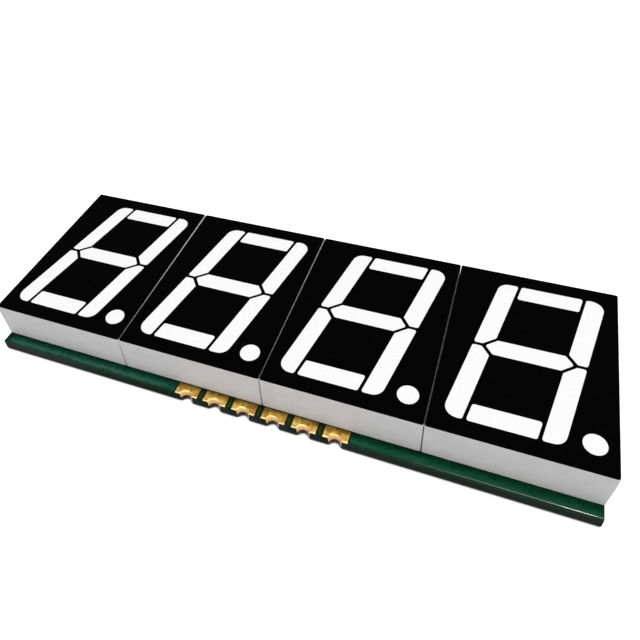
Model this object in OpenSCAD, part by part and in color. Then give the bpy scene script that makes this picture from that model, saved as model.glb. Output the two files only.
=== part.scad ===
// Surface-mount seven-segment display module with four digits.
// A green circuit board with plated half holes along both long edges carries one white
// reflector housing for each digit. Every housing has eight tapered cavities, for seven
// segments and a decimal point. A light-emitting chip with two bond wires sits at the foot
// of each cavity, diffusing resin fills it, and a black film covers the face around them.
// The origin is the centre of the underside, +X runs along the row of digits, +Y points to
// the tops of the figures, and +Z points out of the face.

/* [Figures] */
// Number of digits in the row
digit_count = 4; // [2:1:4]
// Distance from one digit to the next
digit_pitch = 12.6; // [12:0.1:16]
// Height of a figure
figure_h = 14.12; // [11:0.02:15.8]
// Width of a figure before it is slanted
figure_w = 8.24; // [6.5:0.02:8.8]
// Angle by which the figures slant to the right, in degrees
slant = 10.2; // [8:0.1:13]
// Width of the four upright segments
upright_w = 1.47; // [1.2:0.01:2]
// Width of the three level segments
bar_w = 1.47; // [1.2:0.01:2]
// Black gap between neighbouring segments
segment_gap = 0.27; // [0.1:0.01:0.4]
// Radius of the four outer corners of a figure
corner_r = 0.9; // [0.4:0.05:1.1]
// Radius of all the other segment corners
edge_r = 0.18; // [0.05:0.01:0.3]
// Diameter of the decimal point
point_d = 1.6; // [1.5:0.02:2]
// Gap between the foot of a figure and its decimal point
point_gap = 1.07; // [0.6:0.01:1.3]

/* [Housings] */
// Gap between neighbouring housings
housing_gap = 0.06; // [0.05:0.01:0.4]
// Depth of a housing, from front to back
housing_d = 16.8; // [16:0.1:20]
// Height of a housing, from its foot to the film
housing_h = 3.32; // [2:0.02:8]
// Radius of the upright edges of a housing
housing_corner_r = 0.1; // [0.05:0.05:0.6]
// How far the two end walls of the row lean in at their foot
end_draft = 0.2; // [0.05:0.01:0.4]
// How far the walls of a cavity lean in from the face to the foot
cavity_lean = 0.3; // [0.1:0.02:0.38]

/* [Face film] */
// Thickness of the black film
film_t = 0.1; // [0.05:0.01:0.3]
// Margin between a film and the front and rear edges of its housing
film_margin = 0.05; // [0:0.01:0.2]
// Margin between a film and the left and right edges of its housing
film_side_margin = 0.01; // [0:0.01:0.2]
// Radius of the corners of a film
film_corner_r = 0.15; // [0.1:0.05:0.6]

/* [Circuit board] */
// Thickness of the bare laminate
laminate_t = 0.95; // [0.5:0.05:2]
// How far the board stops short of the housings at each end
board_end_inset = 0.2; // [0:0.05:1]
// Width of the board that shows in front of and behind the housings
ledge_w = 1.05; // [0.9:0.05:3]
// Thickness of the copper and its gold plating
copper_t = 0.05; // [0.035:0.005:0.1]
// Thickness of the solder mask
mask_t = 0.03; // [0.01:0.005:0.035]
// Bare margin between a terminal and the solder mask
mask_margin = 0.1; // [0.05:0.01:0.2]
// Bare rim between the solder mask and the edges of the board
mask_rim = 0.06; // [0:0.01:0.2]

/* [Terminals] */
// Number of terminals along each long edge
edge_terminals = 6; // [2:1:7]
// Distance from one terminal to the next
terminal_pitch = 2.54; // [2.4:0.01:3.2]
// Width of a terminal's lands
land_w = 2; // [1.7:0.05:2.2]
// Gap between a top land and the housing behind it
land_gap = 0.05; // [0.02:0.01:0.3]
// Length of the land on the underside
under_land_l = 1.5; // [1.1:0.05:2.5]
// Radius of the plated half hole
hole_r = 0.5; // [0.4:0.02:0.7]
// How far the middle of the half hole lies outside the board's edge
hole_offset = 0.14; // [0:0.01:0.2]
// Thickness of the plating in the half hole
plating_t = 0.05; // [0.02:0.01:0.1]

/* [Light sources] */
// Length of a light-emitting chip
chip_l = 0.24; // [0.2:0.02:0.3]
// Width of a light-emitting chip
chip_w = 0.24; // [0.16:0.02:0.3]
// Thickness of a light-emitting chip
chip_t = 0.09; // [0.05:0.01:0.11]
// Diameter of a bond wire
wire_d = 0.03; // [0.02:0.005:0.04]
// Radius of the loop that a bond wire makes
wire_loop_r = 0.13; // [0.12:0.01:0.15]
// Distance of the wire from the end of the chip, where it is bonded
bond_inset = 0.03; // [0.025:0.005:0.06]
// Width of the lands under a chip and its wires
die_land_w = 0.3; // [0.26:0.02:0.36]
// Length of land past the foot of a wire
die_land_margin = 0.1; // [0.04:0.01:0.12]
// Gap between the two lands of a chip
die_land_gap = 0.07; // [0.04:0.01:0.1]
// Bare margin between the lands of a chip and the solder mask
die_mask_margin = 0.05; // [0.02:0.01:0.1]

/* [Hidden] */
$fn = 64;
cut = 0.5;          // how far a cutting shape runs past the surface that it cuts
arc_steps = 6;      // straight steps in a rounded segment corner
least_r = 0.03;     // smallest radius left at the foot of a cavity's corner

digits = [1 : digit_count];
terminal_count = 2 * edge_terminals;
segment_names = ["a", "b", "c", "d", "e", "f", "g"];

// Heights above the underside
laminate_z = copper_t;
laminate_top = laminate_z + laminate_t;
land_top = laminate_top + copper_t;
mask_top = laminate_top + mask_t;
film_z = mask_top + housing_h;
face_z = film_z + film_t;

// Plan sizes
housing_w = digit_pitch - housing_gap;
row_w = digit_count * digit_pitch - housing_gap;
board_w = row_w - 2 * board_end_inset;
board_d = housing_d + 2 * ledge_w;
land_l = ledge_w - land_gap;

// Sizes of a figure, from its own centre
lean_x = tan(slant);
outer_x = figure_w / 2;
inner_x = outer_x - upright_w;
middle_x = outer_x - upright_w / 2;
top_y = figure_h / 2;
bar_end_x = inner_x - segment_gap;
bevel_shift = segment_gap / sqrt(2);
upright_bevel = middle_x + bevel_shift;
bar_bevel = middle_x - bevel_shift;
sharp_turn = 90 + slant;
outer_r = min(corner_r, (upright_w - edge_r) / tan(sharp_turn / 2));
point_r = point_d / 2;
point_pos = [outer_x - top_y * lean_x + point_gap + point_r, point_r - top_y];

// Places of the bond wires, from the centre of a chip
loop_x = chip_l / 2 - bond_inset + sqrt(pow(wire_loop_r, 2) - pow(chip_t, 2));
wire_foot_x = loop_x + wire_loop_r;
die_land_x = wire_foot_x + die_land_margin;
die_land_split_x = chip_l / 2 + bond_inset;

// ---- Outlines of the segments ----

function unit(v) = v / norm(v);
function left_of(v) = [-v.y, v.x];
function slanted(points) = [for (p = points) [p.x + p.y * lean_x, p.y]];

// An anticlockwise outline with its edges moved inwards by inset and its corners rounded,
// each about a centre that stays the same whatever the inset
function outline(corners, radii, inset = 0) = [
    for (i = [0 : len(corners) - 1])
        let (
            here = corners[i],
            before = corners[(i + len(corners) - 1) % len(corners)],
            after = corners[(i + 1) % len(corners)],
            n1 = left_of(unit(here - before)),
            n2 = left_of(unit(after - here)),
            r = max(radii[i] - inset, least_r),
            centre = here + (r + inset) * (n1 + n2) / (1 + n1 * n2),
            start = atan2(-n1.y, -n1.x),
            turn = acos(n1 * n2)
        )
        for (k = [0 : arc_steps])
            centre + r * [cos(start + turn * k / arc_steps), sin(start + turn * k / arc_steps)]
];

// The upright segment of the top right quarter, before it is slanted
upright_corners = [
    [inner_x, upright_bevel - inner_x],
    [upright_bevel - segment_gap / 2, segment_gap / 2],
    [outer_x, segment_gap / 2],
    [outer_x, top_y],
    [inner_x, top_y]
];
upright_radii = [edge_r, edge_r, edge_r, outer_r, edge_r];

// The same segment in another quarter: side is 1 at the right, half is 1 at the top
function quarter(list, side, half) =
    side * half > 0 ? list : [for (i = [len(list) - 1 : -1 : 0]) list[i]];
function upright(side, half) = [
    quarter([for (p = upright_corners) [side * p.x, half * p.y]], side, half),
    quarter(upright_radii, side, half)
];

// A level segment between two uprights, with its lower edge at y
function level(y) = [
    [[-bar_end_x, y], [bar_end_x, y], [bar_end_x, y + bar_w], [-bar_end_x, y + bar_w]],
    [edge_r, edge_r, edge_r, edge_r]
];

// The pointed level segment in the middle
function middle() = let (x = bar_bevel, y = bar_w / 2) [
    [[-x, 0], [y - x, -y], [x - y, -y], [x, 0], [x - y, y], [y - x, y]],
    [for (i = [1 : 6]) edge_r]
];

// Corners and radii of the segments a to g
segments = [
    level(top_y - bar_w), upright(1, 1), upright(1, -1), level(-top_y),
    upright(-1, -1), upright(-1, 1), middle()
];

function segment_ring(s, inset = 0) = outline(slanted(segments[s][0]), segments[s][1], inset);

// ---- Places ----

function digit_x(d) = (d - (digit_count + 1) / 2) * digit_pitch;

// Where the chip of each segment lies, and the direction of its lands
upright_y = (top_y + segment_gap / 2) / 2;
chip_places = [
    [0, top_y - bar_w / 2, 0], [middle_x, upright_y, 1], [middle_x, -upright_y, 1], [0, bar_w / 2 - top_y, 0],
    [-middle_x, -upright_y, 1], [-middle_x, upright_y, 1], [0, 0, 0]
];

// Places what belongs to the chip of segment s, or of the decimal point when s is undef
module at_chip(s) {
    place = is_undef(s) ? [point_pos.x, point_pos.y, 0] : chip_places[s];
    x = is_undef(s) ? place.x : place.x + place.y * lean_x;
    translate([x, place.y, 0]) rotate([0, 0, place[2] * (90 - slant)]) children();
}

// Places its children at every chip of the module
module at_every_chip() {
    for (d = digits) translate([digit_x(d), 0, 0]) {
        for (s = [0 : 6]) at_chip(s) children();
        at_chip(undef) children();
    }
}

// Places its children at terminal n, with the board's edge along X and the board behind it.
// The front edge counts from left to right and the rear edge from right to left.
module at_terminal(n) {
    rear = n > edge_terminals;
    column = rear ? n - edge_terminals : n;
    rotate([0, 0, rear ? 180 : 0])
        translate([(column - (edge_terminals + 1) / 2) * terminal_pitch, -board_d / 2, 0]) children();
}

module at_every_terminal() {
    for (n = [1 : terminal_count]) at_terminal(n) children();
}

// ---- Circuit board ----

module circuit_board() {
    color("#1d3a2c")
        difference() {
            translate([-board_w / 2, -board_d / 2, laminate_z]) cube([board_w, board_d, laminate_t]);
            at_every_terminal()
                translate([0, -hole_offset, laminate_z - cut])
                    cylinder(r = hole_r + plating_t, h = laminate_t + 2 * cut);
        }
}

// Solder mask with a window for each terminal, whose lands reach land_reach into the board
module mask_sheet(land_reach) {
    difference() {
        square([board_w - 2 * mask_rim, board_d - 2 * mask_rim], center = true);
        at_every_terminal()
            translate([-land_w / 2 - mask_margin, -cut])
                square([land_w + 2 * mask_margin, land_reach + mask_margin + cut]);
        children();
    }
}

module solder_mask_top() {
    color("#0b5d42")
        translate([0, 0, laminate_top]) linear_extrude(mask_t)
            mask_sheet(land_l)
                at_every_chip()
                    square(
                        2 * [die_land_x + die_mask_margin, die_land_w / 2 + die_mask_margin],
                        center = true
                    );
}

module solder_mask_bottom() {
    color("#0b5d42")
        translate([0, 0, laminate_z - mask_t]) linear_extrude(mask_t) mask_sheet(under_land_l);
}

// ---- Terminals ----

module land(length) {
    translate([-land_w / 2, 0, 0]) cube([land_w, length, copper_t]);
}

// One castellated terminal: a land on each face, joined by the plated half hole between them
module terminal(n) {
    color("#d9a441")
        at_terminal(n)
            difference() {
                union() {
                    land(under_land_l);
                    translate([0, 0, laminate_top]) land(land_l);
                    intersection() {
                        translate([0, -hole_offset, 0]) cylinder(r = hole_r + plating_t, h = land_top);
                        translate([-land_w / 2, 0, 0]) cube([land_w, land_w, land_top]);
                    }
                }
                translate([0, -hole_offset, -cut]) cylinder(r = hole_r, h = land_top + 2 * cut);
            }
}

// ---- Light sources ----

// The two lands of a chip: one carries the chip and a wire, and the other takes the second wire
module chip_lands() {
    for (x = [[-die_land_x, die_land_split_x], [die_land_split_x + die_land_gap, die_land_x]])
        translate([x[0], -die_land_w / 2, laminate_top]) cube([x[1] - x[0], die_land_w, copper_t]);
}

module chip_body() {
    translate([-chip_l / 2, -chip_w / 2, land_top]) cube([chip_l, chip_w, chip_t]);
}

// The loops of both wires, as far down as the lands
module wire_loops() {
    for (side = [-1, 1])
        translate([side * loop_x, 0, land_top]) rotate([90, 0, 0])
            rotate_extrude(angle = 180) translate([wire_loop_r, 0]) circle(d = wire_d, $fn = 24);
}

module die_lands() {
    color("#d9a441") at_every_chip() chip_lands();
}

module led_chips() {
    color("#b8c6e6") at_every_chip() chip_body();
}

module bond_wires() {
    color("#e2b04a")
        at_every_chip()
            difference() {
                wire_loops();
                chip_body();
            }
}

// ---- Digits ----

// A solid through rings of equal length, each given with its height
module ring_stack(rings, heights) {
    n = len(rings[0]);
    last = len(rings) - 1;
    polyhedron(
        points = [for (i = [0 : last]) for (p = rings[i]) [p.x, p.y, heights[i]]],
        faces = concat(
            [[for (k = [0 : n - 1]) k], [for (k = [n - 1 : -1 : 0]) last * n + k]],
            [for (i = [0 : last - 1]) for (k = [0 : n - 1])
                let (m = (k + 1) % n) [i * n + k, (i + 1) * n + k, (i + 1) * n + m, i * n + m]]
        )
    );
}

// The space inside a segment's cavity, from the board to the face
module segment_space(s) {
    ring_stack(
        [segment_ring(s, cavity_lean), segment_ring(s), segment_ring(s)],
        [mask_top, film_z, face_z]
    );
}

module point_space() {
    translate([point_pos.x, point_pos.y, 0]) {
        translate([0, 0, mask_top]) cylinder(r1 = point_r - cavity_lean, r2 = point_r, h = housing_h);
        translate([0, 0, film_z]) cylinder(r = point_r, h = film_t);
    }
}

// What the resin of a cavity flows around
module chip_space() {
    chip_lands();
    chip_body();
    wire_loops();
}

// The resin of segment s, which carries its light from the chip to the face
module segment_resin(d, s) {
    color("#fdfdfb")
        translate([digit_x(d), 0, 0])
            difference() {
                segment_space(s);
                at_chip(s) chip_space();
            }
}

module point_resin(d) {
    color("#fdfdfb")
        translate([digit_x(d), 0, 0])
            difference() {
                point_space();
                at_chip(undef) chip_space();
            }
}

// A rectangle with round corners, made of true arcs
module rounded_rectangle(w, d, r) {
    square([w - 2 * r, d], center = true);
    square([w, d - 2 * r], center = true);
    for (x = [-1, 1], y = [-1, 1]) translate([x * (w / 2 - r), y * (d / 2 - r)]) circle(r = r);
}

// The wedge that leans the end wall of the row in, at the right end of a housing
module end_wedge() {
    translate([housing_w / 2, housing_d / 2 + cut, mask_top]) rotate([90, 0, 0])
        linear_extrude(housing_d + 2 * cut)
            polygon([[0, housing_h], [-end_draft, 0], [cut, 0], [cut, housing_h]]);
}

module housing(d) {
    color("#d4d6d4")
        translate([digit_x(d), 0, 0])
            difference() {
                translate([0, 0, mask_top]) linear_extrude(housing_h)
                    rounded_rectangle(housing_w, housing_d, housing_corner_r);
                for (s = [0 : 6]) segment_space(s);
                point_space();
                if (d == 1) mirror([1, 0, 0]) end_wedge();
                if (d == digit_count) end_wedge();
            }
}

module face_film(d) {
    color("#101010")
        translate([digit_x(d), 0, film_z]) linear_extrude(film_t)
            difference() {
                rounded_rectangle(
                    housing_w - 2 * film_side_margin,
                    housing_d - 2 * film_margin,
                    film_corner_r
                );
                for (s = [0 : 6]) polygon(segment_ring(s));
                translate(point_pos) circle(r = point_r);
            }
}

// ---- Nodes ----

circuit_board();
solder_mask_top();
solder_mask_bottom();
die_lands();
led_chips();
bond_wires();
for (n = [1 : terminal_count])
    terminal(n);
for (d = digits) {
    housing(d);
    face_film(d);
    point_resin(d);
    for (s = [0 : 6])
        segment_resin(d, s);
}
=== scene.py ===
import math

import bmesh
import bpy
from mathutils import Matrix, Vector, noise


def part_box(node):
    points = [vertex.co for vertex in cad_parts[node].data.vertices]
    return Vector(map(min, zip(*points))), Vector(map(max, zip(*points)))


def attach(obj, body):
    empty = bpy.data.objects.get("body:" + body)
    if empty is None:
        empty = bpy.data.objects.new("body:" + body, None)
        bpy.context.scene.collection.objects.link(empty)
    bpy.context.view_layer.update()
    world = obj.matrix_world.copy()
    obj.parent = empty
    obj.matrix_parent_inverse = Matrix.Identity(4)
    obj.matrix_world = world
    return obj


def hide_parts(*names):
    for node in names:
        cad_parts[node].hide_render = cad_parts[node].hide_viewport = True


# The looks of a four-digit seven-segment display module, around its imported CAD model.
# Lengths are in metres, written as millimetres times MM.

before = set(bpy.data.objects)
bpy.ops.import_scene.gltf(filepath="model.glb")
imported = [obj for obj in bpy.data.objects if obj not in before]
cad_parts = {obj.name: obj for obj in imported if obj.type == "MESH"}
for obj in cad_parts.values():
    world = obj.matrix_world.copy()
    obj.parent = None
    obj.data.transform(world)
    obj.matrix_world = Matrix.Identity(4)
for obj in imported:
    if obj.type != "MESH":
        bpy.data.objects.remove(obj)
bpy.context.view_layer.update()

MM = 0.001

# ---- Sizes and places read from the frame ----

NODES = sorted(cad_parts)
TERMINALS = [n for n in NODES if n.startswith("terminal_")]
HOUSINGS = [n for n in NODES if n.endswith("_housing")]
FILMS = [n for n in NODES if n.endswith("_face_film")]
RESINS = [n for n in NODES if "_segment_" in n or n.endswith("_decimal_point")]

board_low, board_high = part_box("circuit_board")
board_half_y = board_high.y
land_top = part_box("terminal_1")[1].z
mid_z = (board_low.z + board_high.z) / 2
wall_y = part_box("digit_1_housing")[1].y
mask_half_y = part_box("solder_mask_top")[1].y
row_half_x = max(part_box(n)[1].x for n in TERMINALS)

# ---- Sizes that belong to the finish ----

BOARD_ROLL = 0.08 * MM     # rounding of the board's long edges
HOUSING_EDGE = 0.04 * MM   # rounding of the moulded edges
FILM_EDGE = 0.012 * MM     # rounding of the film's cut edges
BEAD_W = 0.16 * MM         # width of the bead in which the solder mask ends
BEAD_SHARE = 0.9           # share of the mask's thickness by which the bead falls
FILM_CORNER = 0.3 * MM     # more than the radius of a film's corners
WELD = 1e-7                # points closer than this are one

FLAT_ANGLE = math.radians(0.5)     # faces that meet flatter than this are one face
EDGE_ANGLE = math.radians(40)      # edges sharper than this are rounded
SMOOTH_ANGLE = math.radians(50)    # edges sharper than this are shaded sharp

# How far the left and the right side of a face film are drawn in from the CAD film's,
# each as (at the front, at the back). The films that aren't named here stay as wide.
AS_WIDE = (0.0, 0.0)
FILM_TRIMS = {
    "digit_1_face_film": (AS_WIDE, (0.0, 0.1 * MM)),
    "digit_2_face_film": ((0.04 * MM, 0.03 * MM), (0.0, 0.045 * MM)),
}

# Stretches along the board over which the solder mask's look changes from the first to the last: the
# painted reflection on the ledge fades out, the painted shade grows, the bead's coat grows.
SHEEN_FADES = (-14 * MM, 2 * MM)
SHADE_GROWS = (12 * MM, 20 * MM)
POLISH_GROWS = (11 * MM, 18 * MM)

# Depths below a land's face over which the plating of a half hole changes: into the painted highlight at
# the rim, into the wall's colour, into painted shade at the foot.
RIM_HIGHLIGHT_STARTS = (0.01 * MM, 0.08 * MM)
WALL_STARTS = (0.12 * MM, 0.25 * MM)
FOOT_SHADE_STARTS = (0.46 * MM, 0.62 * MM)


# ---- Materials ----

# Numbers of the Mix node's sockets that carry colours, whose names it uses more than once.
COLOUR_A, COLOUR_B, COLOUR_RESULT = 6, 7, 2


def grey(level):
    return (level, level, level)


def map_range(tree, value, start, end, low, high):
    """The values from start to end, spread from low to high."""
    node = tree.nodes.new("ShaderNodeMapRange")
    node.inputs["From Min"].default_value = start
    node.inputs["From Max"].default_value = end
    node.inputs["To Min"].default_value = low
    node.inputs["To Max"].default_value = high
    tree.links.new(value, node.inputs["Value"])
    return node.outputs["Result"]


class Finish:
    """A procedural material: a Principled shader with noise laid in object space."""

    def __init__(self, name, **constants):
        self.material = bpy.data.materials.new(name)
        self.material.use_nodes = True
        self.tree = self.material.node_tree
        self.shader = self.tree.nodes["Principled BSDF"]
        self.place = self.tree.nodes.new("ShaderNodeTexCoord")
        for socket, value in constants.items():
            self.shader.inputs[socket.replace("_", " ")].default_value = value

    def link(self, output, socket):
        self.tree.links.new(output, socket)

    def noise(self, size, detail=3, stretch=(1, 1, 1)):
        """Noise from 0 to 1 with features of that size in metres, stretched along each axis."""
        mapping = self.tree.nodes.new("ShaderNodeMapping")
        mapping.inputs["Scale"].default_value = [1 / (size * s) for s in stretch]
        texture = self.tree.nodes.new("ShaderNodeTexNoise")
        texture.inputs["Scale"].default_value = 1.0
        texture.inputs["Detail"].default_value = detail
        self.link(self.place.outputs["Object"], mapping.inputs["Vector"])
        self.link(mapping.outputs["Vector"], texture.inputs["Vector"])
        return texture.outputs["Fac"]

    def ramp(self, factor, *stops):
        """Colours by factor; each stop is (position, (r, g, b))."""
        node = self.tree.nodes.new("ShaderNodeValToRGB")
        elements = node.color_ramp.elements
        while len(elements) < len(stops):
            elements.new(0.5)
        for element, (position, colour) in zip(elements, stops):
            element.position = position
            element.color = (*colour, 1.0)
        self.link(factor, node.inputs["Fac"])
        return node.outputs["Color"]

    def colour(self, factor, *stops):
        self.link(self.ramp(factor, *stops), self.shader.inputs["Base Color"])

    def mix(self, factor, a, b):
        node = self.tree.nodes.new("ShaderNodeMix")
        node.data_type = "RGBA"
        self.link(factor, node.inputs["Factor"])
        self.link(a, node.inputs[COLOUR_A])
        self.link(b, node.inputs[COLOUR_B])
        return node.outputs[COLOUR_RESULT]

    def spread(self, factor, low, high, start=0.3, end=0.7):
        """The factor's values from start to end, spread from low to high."""
        return map_range(self.tree, factor, start, end, low, high)

    def roughness(self, factor, low, high):
        self.link(self.spread(factor, low, high), self.shader.inputs["Roughness"])

    def place_along(self, axis, start, end, sided=False):
        """How far along an axis, 0 at start and 1 at end; sided takes both ways from the middle."""
        parts = self.tree.nodes.new("ShaderNodeSeparateXYZ")
        self.link(self.place.outputs["Object"], parts.inputs["Vector"])
        along = parts.outputs[axis]
        if sided:
            along = self.maths("ABSOLUTE", along)
        return self.spread(along, 0.0, 1.0, start, end)

    def maths(self, operation, *values):
        node = self.tree.nodes.new("ShaderNodeMath")
        node.operation = operation
        for value, socket in zip(values, node.inputs):
            if isinstance(value, float):
                socket.default_value = value
            else:
                self.link(value, socket)
        return node.outputs[0]

    def times(self, a, b):
        return self.maths("MULTIPLY", a, b)

    def bump(self, factor, depth):
        """Relief of that depth in metres."""
        node = self.tree.nodes.new("ShaderNodeBump")
        node.inputs["Distance"].default_value = depth
        self.link(factor, node.inputs["Height"])
        self.link(node.outputs["Normal"], self.shader.inputs["Normal"])


def film_finish():
    """Matt black printed film."""
    f = Finish("face_film", Specular_IOR_Level=0.008)
    f.colour(f.noise(0.4 * MM), (0.35, grey(0.0004)), (0.65, grey(0.0009)))
    f.roughness(f.noise(0.15 * MM), 0.55, 0.7)
    f.bump(f.noise(0.04 * MM, detail=2), 0.002 * MM)
    return f.material


def resin_finish():
    """White diffusing resin: cast, with a fine cloud of diffuser in it."""
    f = Finish("resin", Specular_IOR_Level=0.3)
    f.colour(f.noise(0.25 * MM, detail=5), (0.3, (0.875, 0.875, 0.87)), (0.7, grey(0.915)))
    f.roughness(f.noise(0.3 * MM), 0.4, 0.5)
    f.bump(f.noise(0.5 * MM, detail=4), 0.002 * MM)
    return f.material


def housing_finish():
    """Light grey moulded plastic with a fine grain."""
    f = Finish("housing", Specular_IOR_Level=0.4)
    f.colour(f.noise(0.8 * MM, detail=5), (0.3, (0.59, 0.582, 0.584)), (0.7, (0.64, 0.628, 0.63)))
    f.roughness(f.noise(0.2 * MM), 0.38, 0.5)
    f.bump(f.noise(0.06 * MM, detail=4), 0.003 * MM)
    return f.material


def laminate_finish():
    """Dark glass-fibre laminate, layered through its thickness and greener just under the mask, with
    painted shade: its flat faces are near-black where they show in the narrow gaps between lands and mask.
    """
    f = Finish("laminate", Specular_IOR_Level=0.05)
    layers = f.noise(0.07 * MM, detail=4, stretch=(7, 7, 1))
    core = f.ramp(
        layers,
        (0.3, (0.003, 0.008, 0.006)), (0.6, (0.007, 0.015, 0.012)), (0.8, (0.016, 0.027, 0.024)),
    )
    green = f.ramp(layers, (0.3, (0.002, 0.02, 0.01)), (0.8, (0.016, 0.05, 0.03)))
    # Painted shade: near-black laminate where its face shows in the narrow gaps between the lands and the
    # mask.
    gap_shade = f.ramp(layers, (0.3, (0.0, 0.001, 0.0)), (0.8, (0.003, 0.006, 0.003)))
    greener = f.place_along("Z", board_high.z - 0.45 * MM, board_high.z - 0.1 * MM)
    away = f.place_along("X", row_half_x - 0.5 * MM, row_half_x + 0.5 * MM, sided=True)
    side = f.mix(f.times(greener, away), core, green)
    inside_y = f.place_along("Y", board_half_y - 0.06 * MM, board_half_y - 0.08 * MM, sided=True)
    inside_x = f.place_along("X", board_high.x - 0.02 * MM, board_high.x - 0.05 * MM, sided=True)
    f.link(f.mix(f.times(inside_x, inside_y), side, gap_shade), f.shader.inputs["Base Color"])
    f.roughness(f.noise(0.1 * MM), 0.5, 0.75)
    f.bump(layers, 0.012 * MM)
    return f.material


def ledge_colour(f, deep, dim):
    """The mask beside the housings: banded outwards, near-black with painted shade at the housing wall,
    then a paler band that is partly copper under the mask and partly painted reflection, most on the left
    half; cloudy, with painted shade growing towards the right end, and darker towards the left end.
    """
    waver = f.spread(f.noise(0.3 * MM, detail=4, stretch=(1.6, 1, 1)), -0.09, 0.09, 0.35, 0.65)
    outwards = f.maths("ADD", f.place_along("Y", wall_y, board_half_y, sided=True), waver)
    # Painted shade near-black beside the housing wall; further out a paler band that is partly copper
    # under the mask and partly painted reflection, which is strongest in this ramp.
    sheen_band = f.ramp(
        outwards,
        (0.0, (0.0, 0.002, 0.001)), (0.12, (0.0, 0.018, 0.01)), (0.35, (0.002, 0.034, 0.02)),
        (0.55, (0.009, 0.066, 0.042)), (0.72, (0.032, 0.108, 0.078)), (0.88, (0.014, 0.06, 0.042)),
        (1.0, (0.01, 0.038, 0.028)),
    )
    # The same bands with less painted reflection: painted shade beside the wall, then the paler band over
    # copper.
    clear = f.ramp(
        outwards,
        (0.0, (0.0, 0.001, 0.001)), (0.12, (0.0, 0.011, 0.006)), (0.35, (0.001, 0.028, 0.014)),
        (0.55, (0.003, 0.055, 0.029)), (0.72, (0.01, 0.086, 0.048)), (0.88, (0.008, 0.052, 0.031)),
        (1.0, (0.007, 0.038, 0.025)),
    )
    banded = f.mix(f.place_along("X", *SHEEN_FADES), sheen_band, clear)
    shaded = f.mix(f.times(f.place_along("X", *SHADE_GROWS), 0.35), banded, deep)
    cloud = f.spread(f.noise(2.5 * MM), 0.0, 0.45, 0.45, 0.65)
    corner = f.place_along("X", -board_high.x + 1.4 * MM, -board_high.x + 0.5 * MM)
    clouded = f.mix(f.times(corner, 0.6), f.mix(cloud, shaded, deep), deep)
    tip = f.place_along("X", -board_high.x + 0.7 * MM, -board_high.x + 0.3 * MM)
    return f.mix(f.times(tip, 0.75), clouded, dim)


def mask_finish():
    """Green solder mask: banded on the ledges with painted shade and painted reflection, olive between the
    terminals with painted shade beside the housings, with a glossy bead.
    """
    f = Finish("solder_mask", Specular_IOR_Level=0.04, Coat_Roughness=0.06)
    deep = f.ramp(f.noise(0.5 * MM, detail=4), (0.3, (0.0, 0.022, 0.01)), (0.7, (0.002, 0.04, 0.02)))
    dim = f.ramp(f.noise(0.3 * MM), (0.3, (0.001, 0.004, 0.002)), (0.7, (0.004, 0.01, 0.006)))
    olive = f.ramp(f.noise(0.2 * MM), (0.3, (0.006, 0.018, 0.004)), (0.7, (0.025, 0.044, 0.012)))
    wall_shade = f.place_along("Y", wall_y + 0.5 * MM, wall_y + 0.1 * MM, sided=True)
    in_row = f.place_along("X", row_half_x + 0.02 * MM, row_half_x, sided=True)
    on_ledge = f.place_along("Y", wall_y - 0.1 * MM, wall_y, sided=True)
    # Painted shade: the olive strips between the terminals go near-black beside the housing wall.
    strips = f.mix(wall_shade, olive, dim)
    upper = f.mix(f.times(in_row, on_ledge), ledge_colour(f, deep, dim), strips)

    plain = f.ramp(f.noise(1.2 * MM, detail=4), (0.3, (0.003, 0.05, 0.028)), (0.7, (0.008, 0.075, 0.044)))
    below = f.place_along("Z", mid_z + 0.1 * MM, mid_z - 0.1 * MM)
    f.link(f.mix(below, upper, plain), f.shader.inputs["Base Color"])

    bead = f.place_along("Y", mask_half_y - BEAD_W, mask_half_y - BEAD_W / 2, sided=True)
    polished = f.place_along("X", *POLISH_GROWS)
    f.link(f.times(bead, polished), f.shader.inputs["Coat Weight"])
    f.roughness(f.noise(0.4 * MM), 0.25, 0.35)
    f.bump(f.noise(0.25 * MM), 0.004 * MM)
    return f.material


def half_hole_colour(f, land, highlight_gold):
    """The plating of a half hole: a painted highlight at its rim, redder down its wall and near-black
    painted shade at its foot.
    """
    def sunk(start, end):
        return f.place_along("Z", land_top - start, land_top - end)

    wall = f.ramp(f.noise(0.15 * MM), (0.3, (0.9, 0.5, 0.16)), (0.7, (0.98, 0.62, 0.24)))
    # Painted shade: near-black brown at the foot of the plated wall, next to the floor.
    foot_shade = f.ramp(f.noise(0.1 * MM), (0.3, (0.02, 0.005, 0.001)), (0.7, (0.05, 0.015, 0.002)))
    # Painted highlight at the rim, where the land rolls over into the half hole.
    to_rim = f.mix(sunk(*RIM_HIGHLIGHT_STARTS), land, highlight_gold)
    to_wall = f.mix(sunk(*WALL_STARTS), to_rim, wall)
    return f.mix(sunk(*FOOT_SHADE_STARTS), to_wall, foot_shade)


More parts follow.
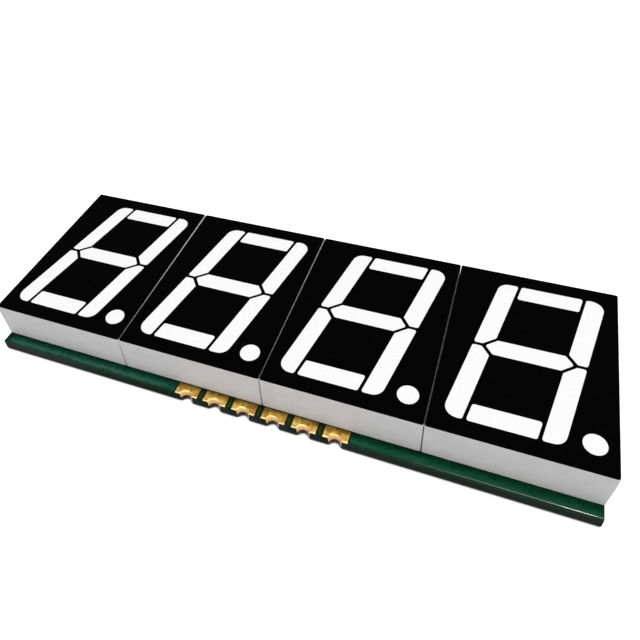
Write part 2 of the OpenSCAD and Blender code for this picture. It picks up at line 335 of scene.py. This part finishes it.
def gold_finish():
    """Immersion gold: mottled, with painted shade in brown beside the housings and a painted highlight
    towards the board's edge.
    """
    f = Finish("gold_plating", Metallic=1.0)
    bright = f.ramp(f.noise(0.3 * MM, detail=4), (0.35, (0.8, 0.45, 0.06)), (0.65, (1.0, 0.72, 0.2)))
    stain = f.ramp(f.noise(0.12 * MM, detail=4), (0.3, (0.32, 0.12, 0.012)), (0.7, (0.6, 0.26, 0.03)))
    patches = f.spread(f.noise(0.4 * MM), 0.0, 0.75, 0.45, 0.6)
    mottled = f.mix(patches, bright, stain)

    # Painted highlight: a pale gold laid towards the board's edge and at the half holes' rims.
    highlight_gold = f.ramp(f.noise(0.15 * MM), (0.3, (1.0, 0.74, 0.3)), (0.7, (1.0, 0.86, 0.5)))
    outwards = f.place_along("Y", wall_y + 0.5 * MM, board_half_y, sided=True)
    edge_highlighted = f.mix(f.times(outwards, 0.25), mottled, highlight_gold)

    # Painted shade: the land darkens to brown towards the housing wall.
    shade_brown = f.ramp(f.noise(0.1 * MM), (0.3, (0.02, 0.008, 0.001)), (0.7, (0.06, 0.028, 0.006)))
    inwards = f.place_along("Y", wall_y + 0.65 * MM, wall_y, sided=True)
    above = f.place_along("Z", mid_z, mid_z + 0.1 * MM)
    land = f.mix(f.times(inwards, above), edge_highlighted, shade_brown)

    underside = f.place_along("Z", 0.02 * MM, 0.002 * MM)
    colour = f.mix(underside, half_hole_colour(f, land, highlight_gold), mottled)
    f.link(colour, f.shader.inputs["Base Color"])
    f.roughness(f.noise(0.1 * MM), 0.25, 0.42)
    f.bump(f.noise(0.08 * MM), 0.006 * MM)
    return f.material


def chip_finish():
    """Blue-grey crystal of a light-emitting chip."""
    f = Finish("chip", Specular_IOR_Level=0.8)
    f.colour(f.noise(0.05 * MM), (0.35, (0.3, 0.4, 0.62)), (0.65, (0.42, 0.52, 0.75)))
    f.roughness(f.noise(0.03 * MM), 0.12, 0.25)
    return f.material


def wire_finish():
    """Drawn gold wire."""
    f = Finish("bond_wire", Metallic=1.0)
    f.colour(f.noise(0.02 * MM), (0.35, (0.78, 0.5, 0.12)), (0.65, (0.9, 0.62, 0.2)))
    f.roughness(f.noise(0.02 * MM), 0.18, 0.3)
    return f.material


# ---- Mesh helpers ----

def paint(piece, material):
    piece.data.materials.clear()
    piece.data.materials.append(material)


def soften(piece, width, steps=2):
    """Rounds the sharp edges of a piece with modifiers, which leave its own mesh as it is."""
    weld = piece.modifiers.new("weld", "WELD")
    weld.merge_threshold = WELD
    flat = piece.modifiers.new("flat", "DECIMATE")
    flat.decimate_type = "DISSOLVE"
    flat.angle_limit = FLAT_ANGLE
    bevel = piece.modifiers.new("bevel", "BEVEL")
    bevel.width = width
    bevel.segments = steps
    bevel.limit_method = "ANGLE"
    bevel.angle_limit = EDGE_ANGLE
    even = piece.modifiers.new("even", "WEIGHTED_NORMAL")
    even.keep_sharp = True


def dress(node, material, width=None, steps=2):
    """A CAD node shown as it is, with its finish."""
    paint(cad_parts[node], material)
    if width:
        soften(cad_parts[node], width, steps)


def add_piece(name, bm, material, slot, *replaced):
    """A new piece from a bmesh, which stands for CAD nodes."""
    mesh = bpy.data.meshes.new(name)
    bmesh.ops.recalc_face_normals(bm, faces=bm.faces)
    bm.to_mesh(mesh)
    bm.free()
    mesh.shade_smooth()
    mesh.set_sharp_from_angle(angle=SMOOTH_ANGLE)
    piece = bpy.data.objects.new(name, mesh)
    bpy.context.scene.collection.objects.link(piece)
    paint(piece, material)
    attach(piece, "root")
    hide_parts(*replaced)
    return piece


def trimmed_film(node, material, left, right):
    """A face film whose sides are drawn in, each by its distances (at the front, at the back)."""
    low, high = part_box(node)
    bm = bmesh.new()
    bm.from_mesh(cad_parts[node].data)
    bmesh.ops.remove_doubles(bm, verts=bm.verts, dist=WELD)
    for vertex in bm.verts:
        back = (vertex.co.y - low.y) / (high.y - low.y)
        for edge_x, way, (at_front, at_back) in ((low.x, 1, left), (high.x, -1, right)):
            if abs(vertex.co.x - edge_x) < FILM_CORNER:
                vertex.co.x += way * (at_front + (at_back - at_front) * back)
    film = add_piece(node.replace("face_film", "film"), bm, material, "face_film", node)
    soften(film, FILM_EDGE)


def roll_drop(distance):
    """How far the board's rounded edge lies below its flat face, at that distance from the edge."""
    if distance >= BOARD_ROLL:
        return 0.0
    return BOARD_ROLL - math.sqrt(max(BOARD_ROLL**2 - (BOARD_ROLL - distance) ** 2, 0.0))


def edge_distance(point):
    """Distance of a point from the nearest of the board's long edges, in plan."""
    return max(board_half_y - abs(point.y), 0.0)


def bead_drop(distance, most):
    """How far the solder mask thins at that distance from its own edge, where it thins the most."""
    if distance >= BEAD_W:
        return 0.0
    return most * (1 - math.sqrt(max(1 - (1 - distance / BEAD_W) ** 2, 0.0)))


def roll_edges(bm):
    """Bends what lies on the board over its rounded long edges."""
    for vertex in bm.verts:
        away = 1 if vertex.co.z > mid_z else -1
        vertex.co.z -= away * roll_drop(edge_distance(vertex.co))


# ---- Board ----

ROLL_STEPS = 5


def quarter_insets(size):
    """Insets from an edge at which a quarter round of that size is cut."""
    turns = [math.pi / 2 * step / ROLL_STEPS for step in range(1, ROLL_STEPS + 1)]
    return [size * (1 - math.cos(turn)) for turn in turns]


def sheet_copy(node, lines):
    """A clean copy of a flat CAD node, cut along its length at those distances from its middle."""
    bm = bmesh.new()
    bm.from_mesh(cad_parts[node].data)
    bmesh.ops.remove_doubles(bm, verts=bm.verts, dist=WELD)
    bmesh.ops.dissolve_limit(bm, angle_limit=FLAT_ANGLE, verts=bm.verts, edges=bm.edges)
    for line in lines:
        for side in (-1, 1):
            bmesh.ops.bisect_plane(
                bm,
                geom=bm.verts[:] + bm.edges[:] + bm.faces[:],
                plane_co=(0, side * line, 0),
                plane_no=(0, 1, 0),
                dist=WELD,
            )
    return bm


def board_sheet(name, node, material, slot):
    """The board's slab, with its long edges rolled."""
    bm = sheet_copy(node, [board_half_y - inset for inset in quarter_insets(BOARD_ROLL)])
    roll_edges(bm)
    add_piece(name, bm, material, slot, node)


def mask_sheet(name, node, material):
    """Solder mask, which thins to a bead along the board's long edges."""
    low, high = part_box(node)
    bm = sheet_copy(node, [mask_half_y - inset for inset in quarter_insets(BEAD_W)])
    outer_z, way = (high.z, 1) if high.z > mid_z else (low.z, -1)
    most = (high.z - low.z) * BEAD_SHARE
    for vertex in bm.verts:
        if abs(vertex.co.z - outer_z) < WELD:
            vertex.co.z -= way * bead_drop(mask_half_y - abs(vertex.co.y), most)
    roll_edges(bm)
    add_piece(name, bm, material, "solder_mask", node)


# ---- Terminals ----

STATIONS = 20              # sections round a quarter of a half hole
LAND_STEPS = 8             # steps from a half hole to the land's outline
WALL_STEPS = 6             # steps down the plated wall
RIM_W = 0.12 * MM          # width of the slope by which a land rolls over into its half hole
RIM_H = 0.2 * MM           # height of that slope
FOOT_RIM = 0.06 * MM       # rounding of the plating at the half hole's foot
LAND_RIM = 0.045 * MM      # rounding of a land's outer edge
WAVE = 0.012 * MM          # unevenness of the plating
WAVE_SIZE = 0.28 * MM      # size of one wave in it
CALM_W = 0.15 * MM         # width beside the board's edge in which the waves die out


class Castellation:
    """One terminal: a land above, a land below and the plated half hole between them.
    Its own x runs along the board's edge and its y into the board."""

    def __init__(self, node):
        low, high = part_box(node)
        self.node = node
        self.way = -1 if low.y > 0 else 1
        self.centre_x = (low.x + high.x) / 2
        self.half_w = (high.x - low.x) / 2
        self.bottom_l = high.y - low.y
        self.top_l = self.upper_length()
        self.low_z, self.high_z = low.z, high.z
        self.plating = board_low.z - low.z
        self.hole_r, self.hole_y = self.hole()
        self.hole_start = math.asin(-self.hole_y / self.hole_r)

    def points(self):
        """The node's vertices in the terminal's own x and y."""
        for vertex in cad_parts[self.node].data.vertices:
            p = vertex.co
            yield Vector((self.way * (p.x - self.centre_x), self.way * p.y + board_half_y, p.z))

    def upper_length(self):
        return max(p.y for p in self.points() if p.z > mid_z)

    def hole(self):
        """Radius of the half hole, and the place of its middle, which lies outside the board."""
        half = min(abs(p.x) for p in self.points() if p.y < WELD)
        apex = min(self.points(), key=lambda p: math.hypot(p.x, p.y))
        middle = (apex.x**2 + apex.y**2 - half**2) / (2 * apex.y)
        return math.hypot(half, middle), middle

    def outer(self, turn, length):
        """Where the land's outline is met at that turn round the half hole, from 0 to pi."""
        quarter = min(turn, math.pi - turn)
        side = 1 if turn < math.pi / 2 else -1
        corner = math.atan2(length, self.half_w)
        if quarter < corner:
            return Vector((side * self.half_w, length * math.sin(quarter) / math.sin(corner)))
        along = (math.pi / 2 - quarter) / (math.pi / 2 - corner)
        return Vector((side * self.half_w * along, length))

    def section(self):
        """The closed cross-section, from the half hole's top over the land and back below.
        Each point is (share of the way from hole to outline, distance past it, z)."""
        quarter = [math.radians(a) for a in range(0, 91, 15)]
        top_rim = [
            (0, RIM_W * (1 - math.cos(a)), self.high_z - RIM_H * (1 - math.sin(a)))
            for a in quarter
        ]
        shares = [step / LAND_STEPS for step in range(1, LAND_STEPS)]
        top_land = [(share, RIM_W * (1 - share), self.high_z) for share in shares]
        top_edge = [
            (1, -LAND_RIM * (1 - math.sin(a)), self.high_z - LAND_RIM * (1 - math.cos(a)))
            for a in quarter[::2]
        ]
        inside = [
            (1, 0, board_high.z), (0, self.plating, board_high.z),
            (0, self.plating, board_low.z), (1, 0, board_low.z),
        ]
        low_edge = [
            (1, -LAND_RIM * (1 - math.cos(a)), self.low_z + LAND_RIM * (1 - math.sin(a)))
            for a in quarter[::2]
        ]
        low_rim = [
            (0, FOOT_RIM * (1 - math.sin(a)), self.low_z + FOOT_RIM * (1 - math.cos(a)))
            for a in quarter
        ]
        wall_low = self.low_z + FOOT_RIM
        wall_h = self.high_z - RIM_H - wall_low
        wall = [(0, 0, wall_low + wall_h * step / WALL_STEPS) for step in range(1, WALL_STEPS)]
        return top_rim + top_land + top_edge + inside + low_edge + low_rim + wall

    def turns(self):
        """Turns round the half hole, closer together near the board's edge."""
        steps = [math.pi / 2 * step / STATIONS for step in range(STATIONS + 1)]
        quarter = [math.pi / 2 * (1 - math.cos(step)) for step in steps]
        return quarter + [math.pi - turn for turn in reversed(quarter[:-1])]

    def place(self, turn, share, distance, z):
        """The point at that turn, that share of the way from hole to outline and that distance past it."""
        length = self.top_l if z > mid_z else self.bottom_l
        angle = self.hole_start + turn * (1 - 2 * self.hole_start / math.pi)
        across, inwards = self.hole_r * math.cos(angle), self.hole_r * math.sin(angle)
        wall = Vector((across, self.hole_y + inwards))
        reach = self.outer(turn, length) - wall
        spot = wall + reach * share + reach.normalized() * distance
        return Vector((spot.x, spot.y, z))

    def worn(self, point):
        """Lays waves in the plating, except on the flat underside and at the board's edge."""
        calm = min(point.y / CALM_W, 1.0) * (1.0 if point.z > mid_z else 0.0)
        seed = Vector((self.centre_x, 1.0 if self.way < 0 else 0.0, 0)) * 1000
        wave = noise.noise_vector(point / WAVE_SIZE + seed)
        inwards = min(wave.z, 0.0) if point.z > self.high_z - LAND_RIM else 0.0
        return point + calm * WAVE * Vector((0.5 * wave.x, 0.5 * wave.y, inwards))

    def build(self):
        bm = bmesh.new()
        section = self.section()
        rings = []
        for turn in self.turns():
            ring = []
            for share, distance, z in section:
                spot = self.worn(self.place(turn, share, distance, z))
                x = self.centre_x + self.way * spot.x
                y = self.way * (spot.y - board_half_y)
                ring.append(bm.verts.new((x, y, spot.z)))
            rings.append(ring)
        for here, after in zip(rings, rings[1:]):
            for k in range(len(section)):
                bm.faces.new((here[k - 1], here[k], after[k], after[k - 1]))
        bm.faces.new(rings[0])
        bm.faces.new(reversed(rings[-1]))
        roll_edges(bm)
        return bm


# ---- Stage ----

SKY_LIGHT = 0.6            # brightness of the surroundings as a light
SKY_BELOW = 0.75           # brightness that mirrors see below the horizon
SKY_TURNS = (-0.4, 0.1)    # heights of view over which that brightness rises to 1
CONTACT = 0.36 * MM        # reach of the soft dark line where the object meets the floor
OPENNESS = (0.35, 0.75)    # openness of the floor's surroundings over which that line fades
FLOOR_COLOUR = 0.8
FLOOR_GLOW = 0.65          # makes the open floor white to the camera
FLOOR_HALF = 3.0           # half the floor's width


def floor_material():
    """Pale floor that shows white to the camera, keeps the object's shadow, and is clear from below."""
    material = bpy.data.materials.new("floor")
    material.use_nodes = True
    tree = material.node_tree
    tree.nodes.clear()
    output = tree.nodes.new("ShaderNodeOutputMaterial")
    contact = tree.nodes.new("ShaderNodeAmbientOcclusion")
    contact.samples = 16
    contact.inputs["Distance"].default_value = CONTACT
    open_air = map_range(tree, contact.outputs["AO"], *OPENNESS, 0.0, FLOOR_COLOUR)
    diffuse = tree.nodes.new("ShaderNodeBsdfDiffuse")
    glow = tree.nodes.new("ShaderNodeEmission")
    glow.inputs["Strength"].default_value = FLOOR_GLOW
    both = tree.nodes.new("ShaderNodeAddShader")
    clear = tree.nodes.new("ShaderNodeBsdfTransparent")
    side = tree.nodes.new("ShaderNodeNewGeometry")
    choice = tree.nodes.new("ShaderNodeMixShader")
    tree.links.new(open_air, diffuse.inputs["Color"])
    tree.links.new(open_air, glow.inputs["Color"])
    tree.links.new(diffuse.outputs[0], both.inputs[0])
    tree.links.new(glow.outputs[0], both.inputs[1])
    tree.links.new(side.outputs["Backfacing"], choice.inputs["Fac"])
    tree.links.new(both.outputs[0], choice.inputs[1])
    tree.links.new(clear.outputs[0], choice.inputs[2])
    tree.links.new(choice.outputs[0], output.inputs["Surface"])
    return material


def choose(tree, factor, a, b):
    """Value a where the factor is 0 and b where it is 1."""
    node = tree.nodes.new("ShaderNodeMix")
    tree.links.new(factor, node.inputs["Factor"])
    for value, socket in zip((a, b), (node.inputs["A"], node.inputs["B"])):
        if isinstance(value, float):
            socket.default_value = value
        else:
            tree.links.new(value, socket)
    return node.outputs["Result"]


def add_floor():
    """A wide floor that only the camera sees, so that the object is lit evenly from every side."""
    bm = bmesh.new()
    bmesh.ops.create_grid(bm, x_segments=8, y_segments=8, size=FLOOR_HALF)
    mesh = bpy.data.meshes.new("floor")
    bm.to_mesh(mesh)
    bm.free()
    floor = bpy.data.objects.new("floor", mesh)
    bpy.context.scene.collection.objects.link(floor)
    floor.data.materials.append(floor_material())
    floor.visible_diffuse = False
    floor.visible_glossy = False
    floor.visible_transmission = False
    floor.visible_shadow = False


def add_world():
    """Plain surroundings: white to the camera and to mirrors above the horizon, softer as a light."""
    world = bpy.data.worlds.new("studio")
    bpy.context.scene.world = world
    world.use_nodes = True
    tree = world.node_tree
    path = tree.nodes.new("ShaderNodeLightPath")
    place = tree.nodes.new("ShaderNodeTexCoord")
    parts = tree.nodes.new("ShaderNodeSeparateXYZ")
    tree.links.new(place.outputs["Generated"], parts.inputs["Vector"])
    mirrored = map_range(tree, parts.outputs["Z"], *SKY_TURNS, SKY_BELOW, 1.0)
    seen = tree.nodes.new("ShaderNodeMath")
    seen.operation = "MAXIMUM"
    tree.links.new(path.outputs["Is Glossy Ray"], seen.inputs[0])
    tree.links.new(path.outputs["Is Transmission Ray"], seen.inputs[1])
    soft = choose(tree, seen.outputs[0], SKY_LIGHT, mirrored)
    strength = choose(tree, path.outputs["Is Camera Ray"], soft, 1.0)
    tree.links.new(strength, tree.nodes["Background"].inputs["Strength"])
    tree.nodes["Background"].inputs["Color"].default_value = (1, 1, 1, 1)


def add_softbox(name, place, width, height, power):
    """A rectangular lamp that faces the object's middle."""
    data = bpy.data.lights.new(name, "AREA")
    data.shape = "RECTANGLE"
    data.size = width
    data.size_y = height
    data.energy = power
    lamp = bpy.data.objects.new(name, data)
    lamp.location = place
    lamp.rotation_mode = "QUATERNION"
    lamp.rotation_quaternion = (-Vector(place)).to_track_quat("-Z", "Y")
    bpy.context.scene.collection.objects.link(lamp)


def add_lights():
    """A wide lamp above, a small one that glints in the bead of the mask, and one in front."""
    add_softbox("overhead", (0.06, -0.03, 0.4), 0.22, 0.22, 0.37)
    add_softbox("strip", (0.088, -0.02, 0.4), 0.035, 0.02, 0.3)
    add_softbox("front", (-0.1, -0.42, 0.2), 0.25, 0.25, 0.5)


def add_camera():
    """The camera at the photograph's viewing angle: its place and turn in the object's frame."""
    data = bpy.data.cameras.new("camera")
    data.sensor_width = 36
    data.lens = 36.135
    data.shift_x = 0.0625
    data.shift_y = -0.16381
    data.clip_start = 0.001
    data.clip_end = 10
    right = Vector((0.931709, 0.355992, -0.072072))
    up = Vector((-0.175983, 0.616033, 0.767809))
    back = right.cross(up)
    turn = Matrix((right, up, back)).transposed().to_4x4()
    camera = bpy.data.objects.new("camera", data)
    camera.matrix_world = Matrix.Translation(Vector((14.913, -34.507, 45.102)) * MM) @ turn
    bpy.context.scene.collection.objects.link(camera)
    bpy.context.scene.camera = camera


# ---- The object ----

def dress_board():
    laminate, mask = laminate_finish(), mask_finish()
    board_sheet("laminate", "circuit_board", laminate, "laminate")
    mask_sheet("mask_top", "solder_mask_top", mask)
    mask_sheet("mask_bottom", "solder_mask_bottom", mask)


def dress_terminals():
    gold = gold_finish()
    for node in TERMINALS:
        name = node.replace("terminal", "castellation")
        add_piece(name, Castellation(node).build(), gold, "gold_plating", node)
    dress("die_lands", gold)


def dress_digits():
    plastic, black, white = housing_finish(), film_finish(), resin_finish()
    for node in HOUSINGS:
        dress(node, plastic, HOUSING_EDGE, 3)
    for node in FILMS:
        trimmed_film(node, black, *FILM_TRIMS.get(node, (AS_WIDE, AS_WIDE)))
    for node in RESINS:
        dress(node, white)
    dress("led_chips", chip_finish())
    dress("bond_wires", wire_finish())


add_camera()
add_world()
add_lights()
add_floor()
dress_board()
dress_terminals()
dress_digits()

bpy.context.scene.view_settings.view_transform = "Standard"
